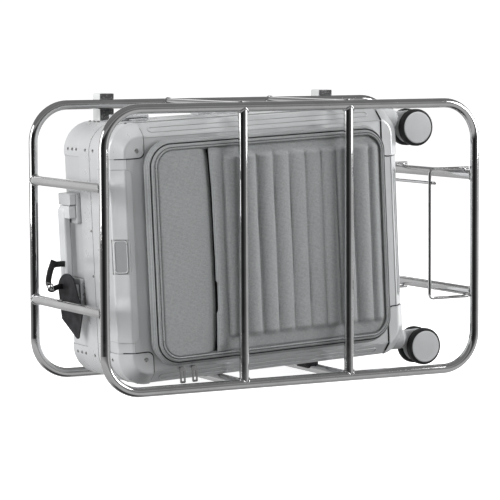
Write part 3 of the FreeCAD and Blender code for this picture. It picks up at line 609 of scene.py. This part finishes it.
def on_level_bevel(sign):
    """The bevel along the top, for a sign of 1, or along the bottom, for -1."""
    def place(x, z):
        return Vector((x, SHELL_FRONT + BEVEL / 2 + z * SLOPE, sign * (HALF_WIDE - BEVEL / 2 + z * SLOPE)))
    return place


def on_end_bevel(x, z):
    """The bevel at the wheels."""
    return Vector((HALF_LONG - BEVEL / 2 + z * SLOPE, SHELL_FRONT + BEVEL / 2 + z * SLOPE, x))


def on_plate(x, z):
    """The bevel at the handle end, where the blank plate sits."""
    slide = BEVEL / 2 - z * SLOPE
    return Vector((-HALF_LONG + slide - PROUD, SHELL_FRONT + BEVEL - slide - PROUD, x))


def on_front(x, z, lift):
    """The front of the shell with its bevels, a little proud."""
    back = max(0.0, abs(x) - HALF_LONG + BEVEL, abs(z) - HALF_WIDE + BEVEL)
    return Vector((x, SHELL_FRONT + back - lift, z))


CAP_R, CAP_START, CAP_STEP = 9 * MM, 6 * MM, 2 * MM


def cap_edge(sx, sz, long, tall, out, lift):
    """The edge of a corner cap over the front: down from the side, round its corner, and along."""
    x, z = HALF_LONG - long - out, HALF_WIDE - tall - out
    count = int((tall - CAP_START - CAP_R) / CAP_STEP)
    spots = [(x, HALF_WIDE - CAP_START - k * CAP_STEP) for k in range(count)]
    spots += [(x + CAP_R * (1 - math.cos(a)), z + CAP_R * (1 - math.sin(a)))
              for a in [math.radians(15 * k) for k in range(7)]]
    run = HALF_LONG - CAP_START - (x + CAP_R)
    spots += [(x + CAP_R + run * k / 8, z) for k in range(1, 9)]
    return [on_front(sx * px, sz * pz, lift) for px, pz in spots]


crease = rounded_outline(0, 0, HALF_LONG - BEVEL - 1.2 * MM, HALF_WIDE - BEVEL - 1.2 * MM, 24 * MM, 3 * MM)
ridge = [Vector((p.x, SHELL_FRONT + 0.2 * MM, p.z)) for p, _ in crease]
lines = [tube_verts(ridge, 0.9 * MM, 8, closed=True)]
for sign in (-1, 1):
    lines.append(pressed_ring(-179 * MM, 186 * MM, on_level_bevel(sign)))
lines.append(pressed_ring(-98 * MM, 94 * MM, on_end_bevel))
plate = rounded_outline(0, 0, 23 * MM, 9.4 * MM, 4 * MM, 1.5 * MM)
lines.append(tube_verts([on_plate(p.x, p.z) for p, _ in plate], 0.9 * MM, 8, closed=True))
mesh_piece("shell_lines", *merge(lines), looks["shell_aluminium"], "root", "shell_aluminium")
mesh_piece("shell_plate", [on_plate(p.x, p.z) for p, _ in plate], [tuple(range(len(plate)))],
           aluminium("plate_aluminium", (0.40, 0.41, 0.42), 0.3), "root", "shell_aluminium", smooth=False)

# The caps' reach along and across the case: square at the handle end, narrow and tall at the wheels.
rims, step_shades = [], []
for sx, long, tall in ((-1, 47 * MM, 47 * MM), (1, 34 * MM, 73 * MM)):
    for sz in (1, -1):
        rims.append(tube_verts(cap_edge(sx, sz, long, tall, -0.9 * MM, 0.9 * MM), 0.8 * MM, 8))
        # Near-black tubes just outside each cap's edge are painted shade: they stand in for the shadow in the step
        # from cap to shell.
        step_shades.append(tube_verts(cap_edge(sx, sz, long, tall, 0.7 * MM, 0.1 * MM), 0.8 * MM, 8))
mesh_piece("cap_rims", *merge(rims), looks["cap_aluminium"], "root", "cap_aluminium")
mesh_piece("cap_step_shadows", *merge(step_shades), rubber("cap_step_shade", (0.02, 0.02, 0.021), 0.7), "root", "gasket_rubber")

# ---------------------------------------------------------------- weld beads on the carrier
BEAD_STEPS = 56
# The way that the tube runs on which each kind of tube ends.
BARS = {"cross_tube": Vector((0, 0, 1)), "tie_tube": Vector((1, 0, 0)), "front_upright": Vector((1, 0, 0))}


def weld_bead(end, inward, bar, radius, seed):
    """A bead round the joint of two equal tubes: end is where their centre lines meet."""
    third = inward.cross(bar)
    path = []
    for k in range(BEAD_STEPS):
        a = 2 * math.pi * k / BEAD_STEPS
        lift = radius * math.sqrt(max(0.03, math.cos(a) ** 2))
        wave = 0.35 * MM * noise.noise(Vector((k * 0.55, seed, 0)))
        path.append(end + inward * (lift + 0.9 * MM + wave)
                    + (bar * math.cos(a) + third * math.sin(a)) * (radius + 0.25 * MM))

    def bead_r(i):
        return (1.5 + 0.45 * noise.noise(Vector((i * 1.1, seed, 4)))) * MM
    return tube_verts(path, bead_r, 8, closed=True)


beads = []
for name in sorted(nodes):
    bar = next((BARS[kind] for kind in BARS if name.startswith(kind)), None)
    if bar is None:
        continue
    low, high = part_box(name)
    spans = high - low
    axis = max(range(3), key=lambda k: spans[k])
    inward = Vector([1.0 if k == axis else 0.0 for k in range(3)])
    middle = (low + high) / 2
    radius = min(spans) / 2
    for sign in (-1, 1):
        end = middle + inward * sign * spans[axis] / 2
        beads.append(weld_bead(end, inward * -sign, bar, radius, len(beads) * 3.7))
bead_verts, bead_faces = merge(beads)
# A bead is flat where it would stand out of the carrier, so the carrier still stands on its tubes.
inside = [Vector([min(max(value, least), most) for value, least, most in zip(v, *cad_box)])
          for v in bead_verts]
mesh_piece("weld_beads", inside, bead_faces, looks["chrome_wire"], "root", "chrome_tube", ROW)

# ---------------------------------------------------------------- the tag's strap
# Millimetres in the row frame: how far back the strap hangs, and half its width.
STRAP_Y = 43.5
HALF_BAND = 4.3


def strap_path(points, per_run=7):
    """A smooth line through points given as x, y, z in millimetres."""
    points = [Vector(p) * MM for p in points]
    ends = [points[0] * 2 - points[1]] + points + [points[-1] * 2 - points[-2]]
    path = []
    for a, b, c, d in zip(ends, ends[1:], ends[2:], ends[3:]):
        for k in range(per_run):
            t = k / per_run
            path.append((b * 2 + (c - a) * t + (a * 2 - b * 5 + c * 4 - d) * t * t
                         + (b * 3 - a - c * 3 + d) * t ** 3) / 2)
    return path + [points[-1]]


def strap_band(points, facing, half=HALF_BAND, thick=2.1):
    """A flat strap through points whose flat side turns towards facing."""
    path = strap_path(points)
    widths = []
    for i, p in enumerate(path):
        tangent = (path[min(i + 1, len(path) - 1)] - path[max(i - 1, 0)]).normalized()
        widths.append(tangent.cross(Vector(facing)).normalized() * half * MM)
    return band_verts(path, widths, thick * MM)


FRONT = (-0.25, -1, 0)
hold = strap_band([(-281, STRAP_Y + 7, 176.5), (-289, STRAP_Y + 1, 178), (-297, STRAP_Y, 178.2),
                   (-305, STRAP_Y, 177.2), (-309.5, STRAP_Y - 0.5, 173.5), (-312.5, STRAP_Y - 1, 167)], FRONT)
tail = strap_band([(-306.8, STRAP_Y - 3.4, 184.5), (-309.2, STRAP_Y - 3, 178), (-312, STRAP_Y - 3, 170),
                   (-314.3, STRAP_Y - 3, 162), (-315.6, STRAP_Y - 3, 154), (-315.2, STRAP_Y - 2.5, 148)],
                  FRONT)
lead = strap_band([(-313.5, STRAP_Y, 143.5), (-309, STRAP_Y, 141), (-303, STRAP_Y, 143.4),
                   (-296, STRAP_Y + 0.5, 145), (-289, STRAP_Y + 2.5, 144.5), (-284.5, STRAP_Y + 6, 143)],
                  FRONT, 4.0)
strap = mesh_piece("strap_bands", *merge([hold, tail, lead]), looks["strap_leather"], "carry_handle",
                   "strap_leather", ROW)
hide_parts("tag_strap")
frame_path = [Vector(p) * MM for p in ((-319.0, STRAP_Y - 4.2, 152.2), (-309.8, STRAP_Y - 4.2, 149.2),
                                       (-307.4, STRAP_Y - 4.2, 140.4), (-316.6, STRAP_Y - 4.2, 143.4))]
rounded = []
for i, p in enumerate(frame_path):
    after, before = frame_path[(i + 1) % 4], frame_path[i - 1]
    for t in (0.2, 0.1, 0.03):
        rounded.append(p.lerp(before, t))
    for t in (0.03, 0.1, 0.2):
        rounded.append(p.lerp(after, t))
prong = [Vector(p) * MM for p in ((-313.9, STRAP_Y - 5.4, 151.5), (-312.8, STRAP_Y - 6, 146.5),
                                  (-311.8, STRAP_Y - 5.2, 141.4))]
buckle = merge([tube_verts(rounded, 0.95 * MM, 10, closed=True), tube_verts(prong, 0.7 * MM, 8)])
mesh_piece("strap_buckle", *buckle, looks["rivet_steel"], "carry_handle", "rivet_steel", ROW)

# ---------------------------------------------------------------- the tag
TAG_HANG = Vector((-288.2, 36.5, 153.5)) * MM
# Across the tag, down it, and out of its face, which turns a little to the front.
turn, swing, lean = math.radians(10), math.radians(13), math.radians(7.4)
TAG_OUT = Vector((-math.cos(turn), -math.sin(turn), 0))
TAG_ACROSS = Vector((math.sin(turn), -math.cos(turn), 0))
TAG_DOWN = Vector((math.sin(lean), -math.sin(swing) * math.cos(turn), -math.cos(swing))).normalized()
TAG_ACROSS = (TAG_ACROSS - TAG_DOWN * TAG_ACROSS.dot(TAG_DOWN)).normalized()
TAG_OUT = TAG_ACROSS.cross(TAG_DOWN).normalized()


def tag_outline(inset):
    """The tag's edge: a round crown, straight sides that spread a little, and a point."""
    top, wide, tall, point = 23.0 - inset, 28.5 - inset, 52.0, 86.0 - inset * 1.6
    points = []
    for k in range(17):
        a = math.pi * k / 16
        points.append((math.cos(a) * top, 9.0 - math.sin(a) * (top * 0.86)))
    points.append((-wide, tall))
    points.append((-3.0, point))
    points.append((0.0, point + 0.8))
    points.append((3.0, point))
    points.append((wide, tall))
    dense = []
    for (x0, y0), (x1, y1) in zip(points, points[1:] + points[:1]):
        count = max(1, int(math.hypot(x1 - x0, y1 - y0) / 2.5))
        dense += [(x0 + (x1 - x0) * k / count, y0 + (y1 - y0) * k / count) for k in range(count)]
    return dense


def tag_place(x, y, out):
    """A point of the tag: across it, down it, and out of its gently bent face, in millimetres."""
    bend = 1.6 * math.sin(y / 40) + 0.0012 * x * x
    return TAG_HANG + (TAG_ACROSS * x + TAG_DOWN * y + TAG_OUT * (out - bend)) * MM


def tag_layer(inset, low, high):
    """A closed sheet of leather with softened edges."""
    verts, rings = [], ((inset + 3.5, low), (inset + 0.5, low), (inset, low + 0.5), (inset, high - 0.5),
                        (inset + 0.5, high), (inset + 3.5, high))
    base = tag_outline(inset)
    for grow, out in rings:
        f = grow - inset
        for x, y in base:
            reach = math.hypot(x, y - 34) or 1
            verts.append(tag_place(x - x / reach * f, y - (y - 34) / reach * f, out))
    count = len(base)
    faces = grid_faces(len(rings), count, wrap=True)
    faces.append(tuple(reversed(range(count))))
    faces.append(tuple((len(rings) - 1) * count + k for k in range(count)))
    return verts, faces


layers = merge([tag_layer(0, -1.6, 0.4), tag_layer(2.6, 0.5, 1.9)])
tag = mesh_piece("tag_leather", *layers, looks["tag_leather"], "carry_handle", "tag_leather", ROW,
                 smooth=False)
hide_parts("luggage_tag")
stitches = []
seam_line = tag_outline(5.4)
for k in range(0, len(seam_line) - 1, 2):
    (x0, y0), (x1, y1) = seam_line[k], seam_line[k + 1]
    stitches.append(tube_verts([tag_place(x0, y0, 1.8), tag_place((x0 + x1) / 2, (y0 + y1) / 2, 2.35),
                                tag_place(x1, y1, 1.8)], 0.38 * MM, 6))
mesh_piece("tag_stitching", *merge(stitches), rubber("thread", (0.07, 0.07, 0.072), 0.6), "carry_handle",
           "tag_leather", ROW)

# ---------------------------------------------------------------- floor, light, camera
floor_mat, shader = new_material("floor", (0.93, 0.93, 0.93), 0.9, 0.0, 0.1)
link(floor_mat, remap(floor_mat, noise_of(floor_mat, 3, 2), 0.3, 0.7, 0.88, 0.92), shader.inputs["Roughness"])
shader.inputs["Emission Color"].default_value = (1, 1, 1, 1)
shader.inputs["Emission Strength"].default_value = 0.84
FLOOR_HALF = 60
verts = [Vector((x * FLOOR_HALF, y * FLOOR_HALF, 0)) for y in (-1, 1) for x in (-1, 1)]
data = bpy.data.meshes.new("floor")
data.from_pydata([tuple(v) for v in verts], [], grid_faces(2, 2))
data.materials.append(floor_mat)
floor = bpy.data.objects.new("floor", data)
scene.collection.objects.link(floor)
floor.visible_glossy = False
floor.visible_diffuse = False


def softbox(name, place, aim, size_x, size_y, power):
    """A soft rectangular light that faces aim."""
    lamp = bpy.data.lights.new(name, "AREA")
    lamp.shape = "RECTANGLE"
    lamp.size, lamp.size_y, lamp.energy = size_x, size_y, power
    obj = bpy.data.objects.new(name, lamp)
    obj.location = place
    obj.rotation_euler = (Vector(aim) - Vector(place)).to_track_quat("-Z", "Y").to_euler()
    scene.collection.objects.link(obj)
    return obj


WALLS = ((0.0, 1.06), (0.06, 0.98), (0.17, 0.5), (0.23, 0.26), (0.33, 0.14), (0.38, 0.04), (0.43, 0.012),
         (0.50, 0.012), (0.56, 0.045), (0.62, 0.09), (0.69, 0.3), (0.715, 0.8), (0.74, 0.3), (0.80, 0.35),
         (0.86, 1.3), (0.95, 1.3), (1.0, 1.06))
CEILING = ((0.0, 0.03), (0.03, 0.05), (0.09, 0.40), (0.42, 0.48), (0.5, 0.3), (0.60, 0.45), (0.68, 0.4),
           (0.78, 0.16), (1.0, 0.2))
aim = (0, 0, 0.2)
softbox("light_right", (2.6, -1.9, 1.1), aim, 1.3, 1.9, 46)
softbox("light_left", (-2.7, 0.5, 0.9), aim, 1.2, 1.8, 26)
softbox("light_top", (0.2, -0.9, 2.7), aim, 2.4, 1.4, 44).visible_glossy = False
softbox("light_edge_left", (-2.7, -0.75, 0.9), aim, 1.2, 1.8, 66).visible_glossy = False
softbox("light_edge_right", (2.7, -0.75, 0.9), aim, 1.2, 1.8, 56).visible_glossy = False

# The studio round the object: dark where the camera stands, brightest to the right, pale behind and
# to the left, grey above, and dark straight below.
world = bpy.data.worlds.new("studio")
scene.world = world
world.use_nodes = True
tree = world.node_tree
background = tree.nodes["Background"]
view_angle, view_rise = math.radians(-28.393), math.radians(4.532)
back = Vector((math.sin(view_angle) * math.cos(view_rise), -math.cos(view_angle) * math.cos(view_rise),
               math.sin(view_rise)))


def ramp_of(value, stops):
    """A grey for each value, through stops given as position and grey."""
    made = tree.nodes.new("ShaderNodeValToRGB")
    elements = made.color_ramp.elements
    elements[0].position, elements[0].color = stops[0][0], (stops[0][1],) * 3 + (1,)
    elements[1].position, elements[1].color = stops[-1][0], (stops[-1][1],) * 3 + (1,)
    for position, grey in stops[1:-1]:
        elements.new(position).color = (grey, grey, grey, 1)
    tree.links.new(value, made.inputs[0])
    return made.outputs["Color"]


place = tree.nodes.new("ShaderNodeTexCoord")
turned = tree.nodes.new("ShaderNodeVectorRotate")
turned.rotation_type = "Z_AXIS"
turned.inputs["Angle"].default_value = math.radians(90) - view_angle
tree.links.new(place.outputs["Generated"], turned.inputs["Vector"])
radial = tree.nodes.new("ShaderNodeTexGradient")
radial.gradient_type = "RADIAL"
tree.links.new(turned.outputs["Vector"], radial.inputs["Vector"])
round_about = ramp_of(radial.outputs["Fac"], WALLS)
split = tree.nodes.new("ShaderNodeSeparateXYZ")
tree.links.new(place.outputs["Generated"], split.inputs[0])
rise = tree.nodes.new("ShaderNodeMapRange")
rise.inputs[1].default_value, rise.inputs[2].default_value = -1, 1
tree.links.new(split.outputs["Z"], rise.inputs[0])
share = ramp_of(rise.outputs[0], ((0.0, 0), (0.36, 0.0), (0.44, 1), (0.62, 1), (0.72, 0), (1.0, 0)))
poles = ramp_of(rise.outputs[0], CEILING)
studio = tree.nodes.new("ShaderNodeMix")
studio.data_type = "RGBA"
tree.links.new(share, studio.inputs["Factor"])
tree.links.new(poles, studio.inputs[6])
tree.links.new(round_about, studio.inputs[7])
tree.links.new(studio.outputs[2], background.inputs["Color"])
background.inputs["Strength"].default_value = 1.0

CAMERA_FAR, CAMERA_ROLL = 3.8218, -0.242
camera_data = bpy.data.cameras.new("camera")
camera_data.sensor_width = 36
camera_data.lens = 183.3
camera_data.shift_y = -0.0345
camera = bpy.data.objects.new("camera", camera_data)
target = Vector((-7.93, -11.5, 216.05)) * MM
camera.location = target + back * CAMERA_FAR
camera.rotation_euler = ((-back).to_track_quat("-Z", "Y").to_matrix()
                         @ Matrix.Rotation(math.radians(CAMERA_ROLL), 3, "Z")).to_euler()
scene.collection.objects.link(camera)
scene.camera = camera
scene.view_settings.view_transform = "Standard"
